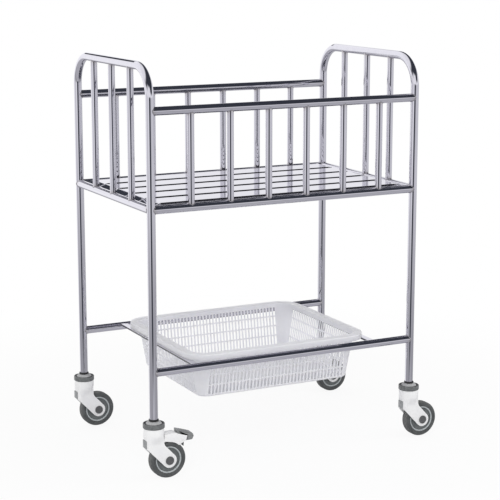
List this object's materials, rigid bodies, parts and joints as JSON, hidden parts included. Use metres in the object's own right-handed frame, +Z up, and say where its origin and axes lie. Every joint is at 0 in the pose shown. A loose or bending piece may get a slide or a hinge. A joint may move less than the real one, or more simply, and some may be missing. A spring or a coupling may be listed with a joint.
{
  "type": "pediatric hospital crib",
  "caption": "Hospital crib with a welded steel tube frame, barred sides and ends, a slatted bed, a lift-out slotted basket below it, and swivel casters with a foot brake.",
  "frame": {"origin": "on the floor, midway between the outermost points of the crib in X and in Y", "axes": "+Z up; +X along the crib, the way the casters trail; -Y the front side, with the braked caster at -X"},
  "size_m": [0.8916, 0.5556, 1.076],
  "materials": {
    "steel": "polished",
    "basket_plastic": "satin",
    "cap_plastic": "satin",
    "fork_plastic": "satin",
    "axle_plastic": "satin",
    "hub_plastic": "satin",
    "tyre_rubber": "matte"
  },
  "bodies": {
    "frame": {"left_end_frame": "steel", "right_end_frame": "steel", "left_end_rail": "steel", "right_end_rail": "steel", "left_end_bar_1": "steel", "left_end_bar_2": "steel", "left_end_bar_3": "steel", "right_end_bar_1": "steel", "right_end_bar_2": "steel", "right_end_bar_3": "steel", "front_upper_rail": "steel", "front_lower_rail": "steel", "front_basket_rail": "steel", "front_bar_1": "steel", "front_bar_2": "steel", "front_bar_3": "steel", "front_bar_4": "steel", "front_bar_5": "steel", "front_bar_6": "steel", "rear_upper_rail": "steel", "rear_lower_rail": "steel", "rear_basket_rail": "steel", "rear_bar_1": "steel", "rear_bar_2": "steel", "rear_bar_3": "steel", "rear_bar_4": "steel", "rear_bar_5": "steel", "rear_bar_6": "steel", "bed_slat_1": "steel", "bed_slat_2": "steel", "bed_slat_3": "steel", "bed_slat_4": "steel", "bed_slat_5": "steel", "left_basket_runner": "steel", "right_basket_runner": "steel", "front_left_caster_stem": "cap_plastic", "front_right_caster_stem": "cap_plastic", "rear_left_caster_stem": "cap_plastic", "rear_right_caster_stem": "cap_plastic"},
    "basket": {"basket": "basket_plastic"},
    "front_left_swivel": {"front_left_fork": "fork_plastic", "front_left_axle": "axle_plastic", "brake_pin": "axle_plastic"},
    "front_left_wheel": {"front_left_hub": "hub_plastic", "front_left_tyre": "tyre_rubber"},
    "front_right_swivel": {"front_right_fork": "fork_plastic", "front_right_axle": "axle_plastic"},
    "front_right_wheel": {"front_right_hub": "hub_plastic", "front_right_tyre": "tyre_rubber"},
    "rear_left_swivel": {"rear_left_fork": "fork_plastic", "rear_left_axle": "axle_plastic"},
    "rear_left_wheel": {"rear_left_hub": "hub_plastic", "rear_left_tyre": "tyre_rubber"},
    "rear_right_swivel": {"rear_right_fork": "fork_plastic", "rear_right_axle": "axle_plastic"},
    "rear_right_wheel": {"rear_right_hub": "hub_plastic", "rear_right_tyre": "tyre_rubber"},
    "brake": {"brake_lever": "fork_plastic", "brake_pedal": "cap_plastic", "brake_shoe": "tyre_rubber"}
  },
  "joints": [
    {"name": "front_left_swivel_turn", "type": "hinge", "parent": "frame", "child": "front_left_swivel", "pos_m": [-0.41727, -0.25, 0.13834], "axis": [0, 0, 1], "continuous": true},
    {"name": "front_left_wheel_roll", "type": "hinge", "parent": "front_left_swivel", "child": "front_left_wheel", "pos_m": [-0.38127, -0.25, 0.04904], "axis": [0, 1, 0], "continuous": true},
    {"name": "front_right_swivel_turn", "type": "hinge", "parent": "frame", "child": "front_right_swivel", "pos_m": [0.36073, -0.25, 0.13834], "axis": [0, 0, 1], "continuous": true},
    {"name": "front_right_wheel_roll", "type": "hinge", "parent": "front_right_swivel", "child": "front_right_wheel", "pos_m": [0.39673, -0.25, 0.04904], "axis": [0, 1, 0], "continuous": true},
    {"name": "rear_left_swivel_turn", "type": "hinge", "parent": "frame", "child": "rear_left_swivel", "pos_m": [-0.41727, 0.25, 0.13834], "axis": [0, 0, 1], "continuous": true},
    {"name": "rear_left_wheel_roll", "type": "hinge", "parent": "rear_left_swivel", "child": "rear_left_wheel", "pos_m": [-0.38127, 0.25, 0.04904], "axis": [0, 1, 0], "continuous": true},
    {"name": "rear_right_swivel_turn", "type": "hinge", "parent": "frame", "child": "rear_right_swivel", "pos_m": [0.36073, 0.25, 0.13834], "axis": [0, 0, 1], "continuous": true},
    {"name": "rear_right_wheel_roll", "type": "hinge", "parent": "rear_right_swivel", "child": "rear_right_wheel", "pos_m": [0.39673, 0.25, 0.04904], "axis": [0, 1, 0], "continuous": true},
    {"name": "brake_press", "type": "hinge", "parent": "front_left_swivel", "child": "brake", "pos_m": [-0.40427, -0.25, 0.10234], "axis": [0, 1, 0], "range_deg": [0, 3]},
    {"name": "basket_lift", "type": "slide", "parent": "frame", "child": "basket", "axis": [0, 0, 1], "range_m": [0, 0.12]}
  ]
}
